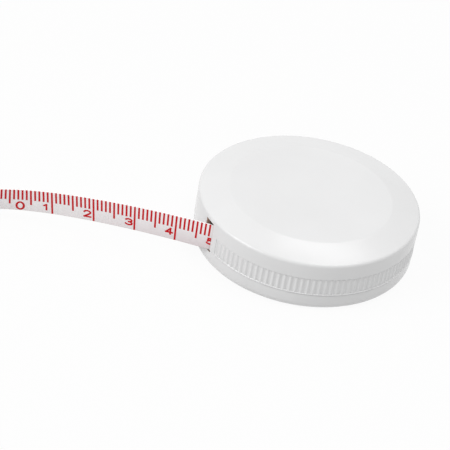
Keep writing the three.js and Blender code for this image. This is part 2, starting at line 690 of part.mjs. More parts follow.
// The fixed case
add('upper_cover', toGeometry(upperCover()), whiteShell);
add('lower_cover', toGeometry(lowerCover()), whiteShell);
add('arbor_plate', toGeometry(arborPlate()), plateSteel);
add('arbor', toGeometry(arbor()), plateSteel);
add('arbor_clip_ring', washer(ARBOR_RADIUS - CLIP_RING_GROOVE + SEAT_GAP, CLIP_RING_RADIUS, CLIP_RING_Z,
  CLIP_RING_Z + CLIP_RING_THICKNESS, BEARING_SEGMENTS), springSteel);
add('thrust_washer', washer(BORE_RADIUS, WASHER_RADIUS, WASHER_Z, WASHER_Z + WASHER_THICKNESS,
  BEARING_SEGMENTS), acetal);

// The turning reel
add('reel_hub', toGeometry(reelHub()), reelPlastic);
add('reel_upper_flange', washer(REBATE_RADIUS, UPPER_FLANGE_RADIUS, DRUM_TOP_Z + SEAT_GAP,
  DRUM_TOP_Z + SEAT_GAP + FLANGE_THICKNESS, HIDDEN_SEGMENTS), reelPlastic);
add('spring_cover', washer(BORE_RADIUS, REBATE_RADIUS - SEAT_GAP, COVER_Z, COVER_TOP_Z,
  HIDDEN_SEGMENTS), reelPlastic);
add('mainspring', mainspring(), springSteel);
add('tape_winding', tapeWinding(), tapeCloth);
add('tape_anchor_pin', disc(ANCHOR_RADIUS, LOWER_FLANGE_TOP_Z + SEAT_GAP, DRUM_TOP_Z, SMALL_SEGMENTS)
  .translate(anchorPlace.x, anchorPlace.y, 0), plateSteel);

// The release button with what it carries
add('release_button', releaseButton(), whiteButton);
add('button_spring', buttonSpring(), springSteel);
add('brake_disc', brakeDisc(), plateSteel);
add('brake_pad', washer(BRAKE_PAD_INNER, BRAKE_PAD_OUTER, PAD_Z, PAD_Z + BRAKE_PAD_THICKNESS,
  HIDDEN_SEGMENTS), feltPad);
add('stem_screw', stemScrew(), plateSteel);

// The free tape and its end
add('tape_lead', toGeometry(tapeLead()), tapeCloth);
object.add(clipGroup);
add('end_clip', toGeometry(endClip()), nickel, clipGroup);
add('clip_rivet', clipRivet(), nickel, clipGroup);

export default object;
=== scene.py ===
# %% [markdown]
# # A round retractable cloth tape measure
# The mechanism is already there as a fixed frame: case, reel, brake, button and tape end, each at its
# real size and place. This lesson dresses that frame. The moulded shells, the printed tape and the end clip
# are modelled again with fine surfaces, and the pieces inside keep their shape and get a real finish.

# %% Load the frame
import math

import bmesh
import bpy
from mathutils import Matrix, Vector


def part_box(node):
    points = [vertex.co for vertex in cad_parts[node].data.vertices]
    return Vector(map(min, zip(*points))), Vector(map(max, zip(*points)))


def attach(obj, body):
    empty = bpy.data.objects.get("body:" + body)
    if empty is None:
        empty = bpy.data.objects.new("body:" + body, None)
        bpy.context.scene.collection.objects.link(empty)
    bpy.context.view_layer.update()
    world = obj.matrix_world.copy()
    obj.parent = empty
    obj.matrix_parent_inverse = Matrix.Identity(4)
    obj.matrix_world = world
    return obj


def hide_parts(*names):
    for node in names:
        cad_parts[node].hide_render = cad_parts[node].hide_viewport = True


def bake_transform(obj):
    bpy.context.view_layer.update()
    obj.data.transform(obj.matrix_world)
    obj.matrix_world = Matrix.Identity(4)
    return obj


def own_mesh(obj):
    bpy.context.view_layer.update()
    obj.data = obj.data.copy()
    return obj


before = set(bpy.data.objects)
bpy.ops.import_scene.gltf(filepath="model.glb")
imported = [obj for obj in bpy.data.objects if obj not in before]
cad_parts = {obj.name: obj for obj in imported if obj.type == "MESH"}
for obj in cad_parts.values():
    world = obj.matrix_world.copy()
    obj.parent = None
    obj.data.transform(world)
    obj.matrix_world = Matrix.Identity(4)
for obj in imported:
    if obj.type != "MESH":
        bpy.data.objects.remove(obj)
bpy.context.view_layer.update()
MM = 0.001
print("nodes in the frame:", len(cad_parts))

# %% [markdown]
# ## Sizes
# Everything below is written in millimetres and turned into metres in one place. Sizes that the frame
# already knows are read from its boxes, so the fine shells can't drift away from the mechanism.

# %% Sizes of the case, read from the frame
cover_low, cover_high = (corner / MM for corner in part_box("upper_cover"))
base_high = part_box("lower_cover")[1] / MM
button_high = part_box("release_button")[1] / MM
winding_low, winding_high = (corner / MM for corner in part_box("tape_winding"))
CASE_RADIUS = cover_high.x
CASE_HEIGHT = cover_high.z
UPPER_Z = cover_low.z
LOWER_RADIUS = base_high.x
LIP_TOP_Z = base_high.z
print(f"case {2 * CASE_RADIUS:.1f} mm across, {CASE_HEIGHT:.1f} mm high, parted at {UPPER_Z:.2f} mm")

# %% Sizes of the shells
WALL = 1.3
TOP_WALL = 1.2
FLOOR_WALL = 1.2
SHOULDER_DROP = 1.5
PLATEAU_RADIUS = 19.5
RIM_FILLET = 0.8
CREASE_FILLET = 2.5
EDGE_FILLET = 0.08
PARTING_GAP = 0.11
BOTTOM_ROUND = 1.9
LIP_WALL = 1.0
LIP_CLEARANCE = 0.1
SEAT_GAP = 0.05
INNER_RADIUS = CASE_RADIUS - WALL
LIP_RADIUS = INNER_RADIUS - LIP_CLEARANCE
RIM_Z = CASE_HEIGHT - SHOULDER_DROP
LOWER_Z = UPPER_Z - PARTING_GAP
OVERRUN = 1.0
print(f"lower shell {CASE_RADIUS - LOWER_RADIUS:.2f} mm smaller in radius, rim at {RIM_Z:.1f} mm")

# %% Sizes of the tape, its route and the mouth
TAPE_THICKNESS = 0.35
TAPE_Z = winding_low.z
TAPE_WIDTH = winding_high.z - winding_low.z
TAPE_LINE = -winding_low.y - TAPE_THICKNESS / 2
TAPE_OUT = 48.35
LEADER = 8.8
BOW_TURN = math.radians(20.8)
BOW_LENGTH = 50.0
BOW_POWER = 4
LEAN = math.radians(13.2)
CLIP_LENGTH = 7.0
CLIP_HEIGHT = 8.6
CLIP_TABLE_GAP = 0.1
MOUTH_FRONT_GAP = 0.25
MOUTH_BACK_GAP = 1.8
MOUTH_TOP_GAP = 0.45
MOUTH_FRONT = -(TAPE_LINE + TAPE_THICKNESS / 2 + MOUTH_FRONT_GAP)
MOUTH_BACK = -(TAPE_LINE - TAPE_THICKNESS / 2 - MOUTH_BACK_GAP)
MOUTH_TOP_Z = TAPE_Z + TAPE_WIDTH + MOUTH_TOP_GAP
MOUTH_X = -math.sqrt(CASE_RADIUS ** 2 - TAPE_LINE ** 2)
TAPE_MIDDLE_Z = TAPE_Z + TAPE_WIDTH / 2
print(f"tape {TAPE_WIDTH:.1f} mm wide, mouth {MOUTH_BACK - MOUTH_FRONT:.1f} mm wide at x {MOUTH_X:.1f} mm")

# %% [markdown]
# ## Camera
# The view is a long lens from above the front. The object isn't in the middle of the picture, so the camera
# is slid sideways across its own view instead of being turned, which keeps the perspective as it is.

# %% Camera
FRAME_PIXELS = 450
FOCAL_PIXELS = 2229.565
SENSOR_WIDTH = 36.0
DISTANCE = 530.0
NEAREST_SHARE = 0.02
AZIMUTH = math.radians(9.9)
ELEVATION = math.radians(35.407)
ROLL = math.radians(9.862)
AIM_PIXEL = (306.319, 216.755)
AIM_POINT = Vector((0, 0, 7.42))


def camera_axes():
    right = Vector((math.cos(AZIMUTH), math.sin(AZIMUTH), 0))
    back = Vector((math.sin(AZIMUTH) * math.cos(ELEVATION), -math.cos(AZIMUTH) * math.cos(ELEVATION),
                   math.sin(ELEVATION)))
    return right, back.cross(right), back


def make_camera():
    right, up, back = camera_axes()
    off_x = AIM_PIXEL[0] - FRAME_PIXELS / 2
    off_y = AIM_PIXEL[1] - FRAME_PIXELS / 2
    turn, lift = math.cos(ROLL), math.sin(ROLL)
    across = (off_x * turn + off_y * lift) / FOCAL_PIXELS * DISTANCE
    along = -(off_y * turn - off_x * lift) / FOCAL_PIXELS * DISTANCE
    place = AIM_POINT - across * right - along * up + DISTANCE * back
    view_right = turn * right + lift * up
    view_up = turn * up - lift * right
    camera = bpy.data.objects.new("camera", bpy.data.cameras.new("camera"))
    camera.data.sensor_width = SENSOR_WIDTH
    camera.data.lens = FOCAL_PIXELS / FRAME_PIXELS * SENSOR_WIDTH
    camera.data.clip_start = DISTANCE * NEAREST_SHARE * MM
    turned = Matrix((view_right, view_up, back)).transposed().to_4x4()
    camera.matrix_world = Matrix.Translation(place * MM) @ turned
    bpy.context.scene.collection.objects.link(camera)
    bpy.context.scene.camera = camera
    return camera


camera = make_camera()
print(f"lens {camera.data.lens:.1f} mm, {DISTANCE:.0f} mm away")

# %% [markdown]
# ## Shader maths
# A node tree is easier to read as arithmetic. One small class wraps a socket, so that an expression such as
# `fibres * 0.7 + tufts * 0.3` adds its Math nodes by itself, and one method adds every other kind of node.

# %% A socket that can be added, multiplied and compared
class Link:
    def __init__(self, graph, socket):
        self.graph = graph
        self.socket = socket

    def math(self, operation, *values):
        return self.graph.add("ShaderNodeMath", dict(enumerate(values)), operation=operation)

    def __add__(self, other):
        return self.math("ADD", self, other)

    def __sub__(self, other):
        return self.math("SUBTRACT", self, other)

    def __mul__(self, other):
        return self.math("MULTIPLY", self, other)

    def __lt__(self, other):
        return self.math("LESS_THAN", self, other)

    def __abs__(self):
        return self.math("ABSOLUTE", self)

    def sine(self):
        return self.math("SINE", self)

    def cosine(self):
        return self.math("COSINE", self)

    def angle_to(self, other):
        return self.math("ARCTAN2", self, other)


# %% A node tree that grows by one call
class Graph:
    def __init__(self, tree):
        self.tree = tree
        self.tree.nodes.clear()

    def plug(self, socket, value):
        if isinstance(value, Link):
            self.tree.links.new(value.socket, socket)
        else:
            socket.default_value = value

    def add(self, kind, sockets=None, output=0, **settings):
        node = self.tree.nodes.new(kind)
        for name, value in settings.items():
            setattr(node, name, value)
        for name, value in (sockets or {}).items():
            self.plug(node.inputs[name], value)
        return Link(self, node.outputs[output]) if node.outputs else node

    def output(self, link, name):
        return Link(self, link.socket.node.outputs[name])

    def parts(self, vector):
        apart = self.add("ShaderNodeSeparateXYZ", {0: vector})
        return [self.output(apart, axis) for axis in "XYZ"]

    def vector(self, x, y, z=0.0):
        return self.add("ShaderNodeCombineXYZ", {0: x, 1: y, 2: z})

    def radius(self, where):
        """Distance from the axis of the case."""
        x, y, _ = self.parts(where)
        return self.add("ShaderNodeVectorMath", {0: self.vector(x, y)}, output=1, operation="LENGTH")

    def range(self, value, low, high, to_low=0.0, to_high=1.0):
        return self.add("ShaderNodeMapRange", {"Value": value, "From Min": low, "From Max": high,
                                               "To Min": to_low, "To Max": to_high})

    def mix(self, share, first, second):
        """Colour that goes from first to second as share goes from 0 to 1."""
        node = self.add("ShaderNodeMix", {0: share, 6: first, 7: second}, data_type="RGBA")
        return self.output(node, 2)


# %% Start and end of a material
def new_material(name):
    material = bpy.data.materials.new(name)
    material.use_nodes = True
    return material, Graph(material.node_tree)


def color(red, green, blue):
    return (red, green, blue, 1.0)


def place_in(graph):
    """Position on the object in millimetres."""
    where = graph.output(graph.add("ShaderNodeTexCoord"), "Object")
    return graph.add("ShaderNodeMapping", {"Vector": where, "Scale": (1 / MM,) * 3})


def noise(graph, where, scale, detail=4.0, roughness=0.5):
    return graph.add("ShaderNodeTexNoise", {"Vector": where, "Scale": scale, "Detail": detail,
                                            "Roughness": roughness})


def bump(graph, height, strength, depth):
    return graph.add("ShaderNodeBump", {"Height": height, "Strength": strength, "Distance": depth * MM})


def surface(graph, material, **sockets):
    names = {name.replace("_", " "): value for name, value in sockets.items()}
    shader = graph.add("ShaderNodeBsdfPrincipled", names)
    graph.add("ShaderNodeOutputMaterial", {"Surface": shader})
    return material


# %% [markdown]
# ## Light and floor
# White on white is the whole difficulty here: the case only reads because its wall gets less light than its
# top. So the sky gives an even base, one wide lamp high behind makes the bright crescent on the front of
# the shoulder, and the floor goes to white for the camera while it still keeps the object's shadow.

# %% Sky
SKY_LIGHT = 0.53
SKY_SEEN = 1.0


def seen_share(graph):
    """1 where the camera looks, also by way of a reflection or through glass, and 0 for light elsewhere."""
    path = graph.add("ShaderNodeLightPath")
    looked = graph.output(path, "Is Camera Ray") + graph.output(path, "Is Glossy Ray")
    return looked + graph.output(path, "Is Transmission Ray")


def make_sky():
    world = bpy.data.worlds.new("pale_sky")
    world.use_nodes = True
    graph = Graph(world.node_tree)
    strength = graph.range(seen_share(graph), 0.0, 1.0, SKY_LIGHT, SKY_SEEN)
    light = graph.add("ShaderNodeBackground", {"Color": color(1, 1, 1), "Strength": strength})
    graph.add("ShaderNodeOutputWorld", {"Surface": light})
    bpy.context.scene.world = world


make_sky()

# %% Floor
FLOOR_HALF = 3000.0
FLOOR_DROP = 0.02
FLOOR_COLOR = color(0.72, 0.72, 0.72)
FLOOR_GLOW = 1.003
FLOOR_GLOW_SHARE = 0.93


def make_floor():
    mesh = bpy.data.meshes.new("floor")
    corners = [(-1, -1), (1, -1), (1, 1), (-1, 1)]
    mesh.from_pydata([(x * FLOOR_HALF * MM, y * FLOOR_HALF * MM, -FLOOR_DROP * MM) for x, y in corners],
                     [], [(0, 1, 2, 3)])
    floor = bpy.data.objects.new("floor", mesh)
    bpy.context.scene.collection.objects.link(floor)
    material, graph = new_material("pale_floor")
    lit = graph.add("ShaderNodeBsdfDiffuse", {"Color": FLOOR_COLOR})
    glow = graph.add("ShaderNodeEmission", {"Color": color(1, 1, 1), "Strength": FLOOR_GLOW})
    bright = graph.add("ShaderNodeMixShader", {0: seen_share(graph) * FLOOR_GLOW_SHARE, 1: lit, 2: glow})
    below = graph.output(graph.add("ShaderNodeNewGeometry"), "Backfacing")
    clear = graph.add("ShaderNodeBsdfTransparent")
    shown = graph.add("ShaderNodeMixShader", {0: below, 1: bright, 2: clear})
    graph.add("ShaderNodeOutputMaterial", {"Surface": shown})
    mesh.materials.append(material)


make_floor()

# %% Lamps
LAMP_DISTANCE = 900.0


def make_lamp(name, azimuth, elevation, width, height, radiance):
    """Area lamp aimed at the case, seen from it at that azimuth, from +Y towards +X, and elevation."""
    flat = math.cos(math.radians(elevation))
    away = Vector((flat * math.sin(math.radians(azimuth)), flat * math.cos(math.radians(azimuth)),
                   math.sin(math.radians(elevation))))
    lamp = bpy.data.objects.new(name, bpy.data.lights.new(name, "AREA"))
    lamp.data.shape = "RECTANGLE"
    lamp.data.size, lamp.data.size_y = width * MM, height * MM
    lamp.data.energy = radiance * math.pi * width * height * MM ** 2
    lamp.location = (AIM_POINT + away * LAMP_DISTANCE) * MM
    lamp.rotation_mode = "QUATERNION"
    lamp.rotation_quaternion = away.to_track_quat("Z", "Y")
    bpy.context.scene.collection.objects.link(lamp)


lamps = {
    "crescent_lamp": dict(azimuth=3, elevation=60, width=340, height=200, radiance=3.2),
    "overhead_lamp": dict(azimuth=90, elevation=72, width=400, height=400, radiance=4.15),
    "left_lamp": dict(azimuth=-125, elevation=40, width=500, height=500, radiance=4.25),
}
for name, values in lamps.items():
    make_lamp(name, **values)
bpy.context.scene.view_settings.view_transform = "Standard"
print("lamps:", ", ".join(lamps))

# %% [markdown]
# ## Finishes
# The two shells are one white moulding compound. Up close such a skin isn't flat: it has a faint orange
# peel, and its gloss wanders a little. Both are noise in object space, at the scale of the real thing.

# %% Moulded plastic
def moulded_plastic(name, base, roughness, peel=0.0015, peel_size=1.4, shade=0.012):
    material, graph = new_material(name)
    where = place_in(graph)
    cloud = noise(graph, where, 0.06, detail=2.0)
    dimples = noise(graph, where, 1 / peel_size, detail=2.0)
    fine = noise(graph, where, 9.0, roughness=0.6)
    darker = tuple(channel * (1 - 2 * shade) for channel in base[:3]) + (1.0,)
    return surface(
        graph, material,
        Base_Color=graph.mix(graph.range(cloud, 0.35, 0.65), darker, base),
        Roughness=graph.range(fine, 0.3, 0.7, roughness - 0.03, roughness + 0.05),
        Normal=bump(graph, dimples + fine * 0.08, 0.35, peel),
    )


shell_white = moulded_plastic("shell_white", color(0.775, 0.775, 0.777), 0.22)
button_white = moulded_plastic("button_white", color(0.76, 0.76, 0.764), 0.34)
reel_ivory = moulded_plastic("reel_ivory", color(0.76, 0.74, 0.68), 0.45, peel=0.004, shade=0.02)
washer_acetal = moulded_plastic("washer_acetal", color(0.80, 0.78, 0.70), 0.38, shade=0.02)


# %% Painted shade inside the case
SHADE_RAMP_SHARE = 0.7
DUST_DEPTH = 0.01


def paint_inside_shade():
    """Painted shade for the hollow of the case: unpolished plastic, brown in the outer share of the wall and
    near black deeper in.
    """
    material, graph = new_material("painted_inside_shade")
    where = place_in(graph)
    # The brown that goes to near black deeper into the wall is painted shade. The dust noise adds random
    # darker patches.
    depth = graph.range(graph.radius(where), CASE_RADIUS, CASE_RADIUS - WALL * SHADE_RAMP_SHARE)
    dust = noise(graph, where, 2.5)
    painted_shade = graph.mix(depth, color(0.60, 0.40, 0.31), color(0.035, 0.012, 0.006))
    return surface(
        graph, material,
        Base_Color=graph.mix(graph.range(dust, 0.3, 0.7, 0.0, 0.3), painted_shade, color(0.05, 0.022, 0.014)),
        Roughness=0.7,
        Specular_IOR_Level=0.2,
        Normal=bump(graph, dust, 0.3, DUST_DEPTH),
    )


painted_inside_shade = paint_inside_shade()

# %% [markdown]
# Metal inside a tape measure is cheap strip and wire. Sheet that was rolled and punched shows fine straight
# lines, turned pieces show rings about their axis, and a blued spring is darker with a cool tint. All of
# them are one function with another direction for the lines.

# %% Metal
GRAIN_DEPTH = 0.004


def worked_metal(name, base, roughness, lines="straight", tint=None, line_size=0.12):
    material, graph = new_material(name)
    where = place_in(graph)
    x, y, z = graph.parts(where)
    if lines == "rings":
        radius = graph.radius(where)
        stretched = graph.vector(radius, z, radius * 0.3)
    else:
        stretched = graph.vector(x * 0.04, y, z)
    grain = noise(graph, stretched, 1 / line_size)
    cloud = noise(graph, where, 0.5, detail=3.0)
    other = tint or tuple(channel * 0.86 for channel in base[:3]) + (1.0,)
    return surface(
        graph, material,
        Base_Color=graph.mix(graph.range(cloud, 0.35, 0.65), other, base),
        Metallic=1.0,
        Roughness=graph.range(grain, 0.25, 0.75, roughness - 0.06, roughness + 0.10),
        Normal=bump(graph, grain, 0.3, GRAIN_DEPTH),
    )


zinc_plate = worked_metal("zinc_plate", color(0.62, 0.63, 0.64), 0.34, tint=color(0.58, 0.57, 0.50))
turned_steel = worked_metal("turned_steel", color(0.60, 0.60, 0.61), 0.28, lines="rings")
blued_spring = worked_metal("blued_spring", color(0.22, 0.24, 0.29), 0.30, tint=color(0.30, 0.28, 0.26))
nickel = worked_metal("nickel", color(0.72, 0.70, 0.66), 0.20, line_size=0.3)

# %% Felt
FUZZ_DEPTH = 0.08


def pressed_felt():
    material, graph = new_material("pressed_felt")
    where = place_in(graph)
    fibres = noise(graph, where, 7.0, detail=8.0, roughness=0.7)
    tufts = noise(graph, where, 1.5, detail=3.0)
    fuzz = fibres * 0.7 + tufts * 0.3
    return surface(
        graph, material,
        Base_Color=graph.mix(graph.range(fuzz, 0.35, 0.65), color(0.045, 0.042, 0.04),
                             color(0.10, 0.095, 0.09)),
        Roughness=0.95,
        Normal=bump(graph, fuzz, 0.8, FUZZ_DEPTH),
    )


brake_felt = pressed_felt()

# %% [markdown]
# The tape is woven glass fibre with a soft plastic coat. Its weave is too fine to model, so it is a bump
# that follows the tape's own coordinates: U runs along the tape and V across it, both in tape widths. The
# coat is a little pink. Near the case its lower part is darker and pinker: a little tint and mostly painted
# shade. A thin dark line along the lower edge is painted shade too. Faint streaks run across it where
# threads show.

# %% Coated cloth of the tape
WEAVE_PITCH = 0.42
WEAVE_DEPTH = 0.02
TAPE_TOP_COLOR = color(0.985, 0.965, 0.97)
TAPE_UNSHADED_COLOR = color(0.985, 0.96, 0.965)
# Low colour: a pinker tint and painted shade for the lower part of the tape near the case.
TAPE_LOW_COLOR = color(0.83, 0.75, 0.765)
NEAR_CASE_SHADE_WIDTHS = 5.0
# Dark brown of the tape's edge and of the grooves in the winding is painted shade.
TAPE_EDGE_SHADE_COLOR = color(0.50, 0.41, 0.39)


def coated_cloth():
    material, graph = new_material("coated_cloth")
    along, across, _ = graph.parts(graph.output(graph.add("ShaderNodeTexCoord"), "UV"))
    threads = 2 * math.pi * TAPE_WIDTH / WEAVE_PITCH
    weave = (along * threads).sine() * (across * threads).sine()
    streaks = noise(graph, graph.vector(along * 9.0, across * 0.8), 1.0, detail=3.0)
    speckle = noise(graph, graph.vector(along, across), 60.0, detail=2.0)
    # Near the case the lower part of the tape is darker and pinker, fading out along the tape: painted shade
    # with a little tint.
    lower = graph.mix(graph.range(along, 0.0, NEAR_CASE_SHADE_WIDTHS), TAPE_LOW_COLOR, TAPE_UNSHADED_COLOR)
    body = graph.mix(graph.range(across, 0.1, 0.75), lower, TAPE_TOP_COLOR)
    shaded = graph.mix(graph.range(streaks + speckle * 0.3, 0.45, 0.85) * 0.25, body, TAPE_LOW_COLOR)
    # A thin dark brown line along the lower edge is painted shade.
    edge = graph.range(across, 0.0, 0.035, 0.7, 0.0)
    return surface(
        graph, material,
        Base_Color=graph.mix(edge, shaded, TAPE_EDGE_SHADE_COLOR),
        Roughness=graph.range(weave, -1.0, 1.0, 0.46, 0.56),
        Normal=bump(graph, weave + streaks * 0.4, 0.25, WEAVE_DEPTH),
    )


tape_cloth = coated_cloth()

# %% Edge of the wound tape
TURN_DEPTH = 0.03


def wound_cloth():
    """Seen from above, the turns of the winding are fine rings about the axis, with painted shade in the
    grooves between them.
    """
    material, graph = new_material("wound_cloth")
    where = place_in(graph)
    turns = (graph.radius(where) * (2 * math.pi / TAPE_THICKNESS)).sine()
    fuzz = noise(graph, where, 3.0)
    relief = graph.range(turns + fuzz * 0.8, -0.8, 1.2)
    return surface(
        graph, material,
        Base_Color=graph.mix(relief, TAPE_EDGE_SHADE_COLOR, TAPE_LOW_COLOR),
        Roughness=0.7,
        Normal=bump(graph, relief, 0.4, TURN_DEPTH),
    )


tape_edges = wound_cloth()

# %% Printing ink
BLOTCH_DEPTH = 0.01


def printing_ink():
    material, graph = new_material("red_ink")
    where = place_in(graph)
    blotch = noise(graph, where, 4.0)
    return surface(
        graph, material,
        Base_Color=graph.mix(graph.range(blotch, 0.35, 0.65), color(0.57, 0.001, 0.005),
                             color(0.66, 0.004, 0.010)),
        Roughness=0.5,
        Specular_IOR_Level=0.2,
        Normal=bump(graph, blotch, 0.2, BLOTCH_DEPTH),
    )


red_ink = printing_ink()
print("materials:", ", ".join(sorted(material.name for material in bpy.data.materials)))

# %% [markdown]
# ## Small mesh tools
# Many pieces are turned about the case's axis, and a lathe makes them. Its outline is a list of corners,
# each with its own fillet, and the fillets become arcs before the outline is spun. Other pieces are one
# section carried along a path, and a skin over the row of sections makes those. Smooth shading is split
# where two faces meet at more than a set angle.

# %% Outline with rounded corners
def rounded(corners, steps=6):
    """Closed outline from (radius, z, fillet) corners. A corner on the axis stays sharp."""
    outline = []
    for i, (r, z, fillet) in enumerate(corners):
        here = Vector((r, z))
        if fillet == 0:
            outline.append(here)
            continue
        to_last = (Vector(corners[i - 1][:2]) - here).normalized()
        to_next = (Vector(corners[(i + 1) % len(corners)][:2]) - here).normalized()
        half = to_last.angle(to_next) / 2
        middle = here + (to_last + to_next).normalized() * (fillet / math.sin(half))
        first = here + to_last * (fillet / math.tan(half)) - middle
        last = here + to_next * (fillet / math.tan(half)) - middle
        sweep = first.angle_signed(last)
        for step in range(steps + 1):
            turn = Matrix.Rotation(-sweep * step / steps, 2)
            outline.append(middle + turn @ first)
    return outline


# %% Lathe
AXIS_TOLERANCE = 1e-4


def lathe(outline, segments, open_ends=False):
    """Mesh in millimetres of an outline spun about Z. A closed outline, or one that ends on the axis."""
    mesh = bmesh.new()
    rings = []
    for point in outline:
        count = 1 if abs(point[0]) < AXIS_TOLERANCE else segments
        rings.append([
            mesh.verts.new((point[0] * math.cos(turn), point[0] * math.sin(turn), point[1]))
            for turn in (2 * math.pi * i / segments for i in range(count))
        ])
    pairs = list(zip(rings, rings[1:])) + ([] if open_ends else [(rings[-1], rings[0])])
    for below, above in pairs:
        for i in range(segments):
            corners = [below[i % len(below)], below[(i + 1) % len(below)],
                       above[(i + 1) % len(above)], above[i % len(above)]]
            distinct = list(dict.fromkeys(corners))
            if len(distinct) > 2:
                mesh.faces.new(distinct)
    bmesh.ops.recalc_face_normals(mesh, faces=mesh.faces)
    return mesh


# %% Skin over a row of sections
def skin(sections):
    """Closed mesh over sections that all have as many points, with a cap on each end."""
    mesh = bmesh.new()
    rows = [[mesh.verts.new(point) for point in section] for section in sections]
    for one, other in zip(rows, rows[1:]):
        for i in range(len(one)):
            after = (i + 1) % len(one)
            mesh.faces.new((one[i], one[after], other[after], other[i]))
    mesh.faces.new(rows[0])
    mesh.faces.new(rows[-1])
    bmesh.ops.recalc_face_normals(mesh, faces=mesh.faces)
    return mesh


# %% From a mesh in millimetres to a piece in metres
SHARP_ANGLE = math.radians(35)


def smooth(data):
    data.shade_smooth()
    data.set_sharp_from_angle(angle=SHARP_ANGLE)


def add_object(name, data):
    made = bpy.data.objects.new(name, data)
    bpy.context.scene.collection.objects.link(made)
    return made


def piece(name, mesh, *materials):
    data = bpy.data.meshes.new(name)
    mesh.to_mesh(data)
    mesh.free()
    data.transform(Matrix.Scale(MM, 4))
    for material in materials:
        data.materials.append(material)
    smooth(data)
    return add_object(name, data)


def settle(obj):
    """Turns the evaluated object, modifiers and all, into its own plain mesh."""
    bpy.context.view_layer.update()
    evaluated = obj.evaluated_get(bpy.context.evaluated_depsgraph_get())
    data = bpy.data.meshes.new_from_object(evaluated)
    obj.modifiers.clear()
    obj.data = data
    smooth(data)
    return obj


def join_solid(obj, tool, operation):
    """Adds one closed mesh to another, or cuts it away, and drops the tool."""
    boolean = obj.modifiers.new(operation, "BOOLEAN")
    boolean.operation = operation
    boolean.solver = "MANIFOLD"
    boolean.object = tool
    settle(obj)
    bpy.data.objects.remove(tool)
    return obj


def fit(obj, body, slot, *nodes):
    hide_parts(*nodes)
    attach(obj, body)
    print(f"{obj.name}: {len(obj.data.polygons)} faces, rides on {body}")
    return obj


# %% [markdown]
# ## Upper cover
# The cover is one turned skin: a flat middle, a shoulder that falls gently to a crisp rim, and a plain
# wall. The change from middle to shoulder is soft, so it has a wide fillet, while the rim has a tight one.

# %% Turned skin of the upper cover
SKIN_SEGMENTS = 360
LEVEL_SHARE = 0.5


def mark_inside(mesh, low_z, high_z, up):
    """Gives the second material, the painted shade, to the faces in the hollow of a shell that opens up (1)
    or down (-1).
    """
    edge = INNER_RADIUS - EDGE_FILLET + SEAT_GAP
    for face in mesh.faces:
        middle = face.calc_center_median()
        looks_in = face.normal.xy.dot(middle.xy) < -EDGE_FILLET or face.normal.z * up > LEVEL_SHARE
        if low_z < middle.z < high_z and middle.xy.length < edge and looks_in:
            face.material_index = 1
    return mesh


def upper_skin():
    outline = rounded([
        (INNER_RADIUS, UPPER_Z, 0),
        (CASE_RADIUS, UPPER_Z, EDGE_FILLET),
        (CASE_RADIUS, RIM_Z, RIM_FILLET),
        (PLATEAU_RADIUS, CASE_HEIGHT, CREASE_FILLET),
        (0, CASE_HEIGHT, 0),
        (0, CASE_HEIGHT - TOP_WALL, 0),
        (PLATEAU_RADIUS, CASE_HEIGHT - TOP_WALL, 0),
        (INNER_RADIUS, RIM_Z - TOP_WALL, 0),
    ])
    mesh = mark_inside(lathe(outline, SKIN_SEGMENTS), UPPER_Z, CASE_HEIGHT - TOP_WALL / 2, -1)
    return piece("upper_shell", mesh, shell_white, painted_inside_shade)


upper_shell = upper_skin()

# %% [markdown]
# ## Pocket for the ribs
# The grip ribs lie in a shallow pocket of the wall, almost flush with the plain band above them. On the side
# of the mouth the wall has no pocket. So the pocket is a ring with a gap in it, and it is cut away: its
# inner side becomes the floor between the ribs, and the chamfer at its foot leaves a narrow lip that takes
# the light.

# %% Pocket
POCKET_DEPTH = 0.29
BAND_HEIGHT = 4.15
RIB_FLOOR = CASE_RADIUS - POCKET_DEPTH
RIB_FOOT = 0.35
RIB_TOP_Z = RIM_Z - BAND_HEIGHT
LIP_CHAMFER = 0.16
RAMP = 0.15
RAMP_CORNER_SHARE = 0.4
PLAIN_WALL_FRONT = 1.4
PLAIN_WALL_BACK = 20.0
POCKET_STEPS = 300
mouth_angle = math.atan2((MOUTH_FRONT + MOUTH_BACK) / 2, MOUTH_X)
mouth_chord = (MOUTH_BACK - MOUTH_FRONT) / abs(math.cos(mouth_angle))
plain_front = (mouth_chord / 2 + PLAIN_WALL_FRONT) / CASE_RADIUS
plain_back = (mouth_chord / 2 + PLAIN_WALL_BACK) / CASE_RADIUS
plain_angle = mouth_angle + (plain_front - plain_back) / 2
plain_half_angle = (plain_front + plain_back) / 2
pocket_angle = 2 * math.pi - 2 * plain_half_angle


def pocket_ring():
    foot_z = UPPER_Z + RIB_FOOT
    corner = RAMP * RAMP_CORNER_SHARE
    outline = [
        (CASE_RADIUS + LIP_CHAMFER, foot_z - 2 * LIP_CHAMFER),
        (CASE_RADIUS + OVERRUN, foot_z),
        (CASE_RADIUS + OVERRUN, RIB_TOP_Z + RAMP),
        (CASE_RADIUS, RIB_TOP_Z + RAMP),
        (CASE_RADIUS - corner, RIB_TOP_Z + RAMP - corner),
        (RIB_FLOOR + corner, RIB_TOP_Z),
        (RIB_FLOOR, RIB_TOP_Z - RAMP),
        (RIB_FLOOR, foot_z),
        (CASE_RADIUS - LIP_CHAMFER, foot_z),
    ]
    start = plain_angle + plain_half_angle
    turns = [start + pocket_angle * step / POCKET_STEPS for step in range(POCKET_STEPS + 1)]
    sections = [[(r * math.cos(turn), r * math.sin(turn), z) for r, z in outline] for turn in turns]
    return piece("pocket_ring", skin(sections), shell_white)


join_solid(upper_shell, pocket_ring(), "DIFFERENCE")
print(f"pocket round {math.degrees(pocket_angle):.0f} degrees of the wall")

# %% [markdown]
# ## Grip ribs
# The ribs are one small soft-edged bar with a rounded upper end, repeated round the wall. Geometry Nodes put
# one bar on each point of a circle and leave out those on the side of the mouth, where the wall is plain.

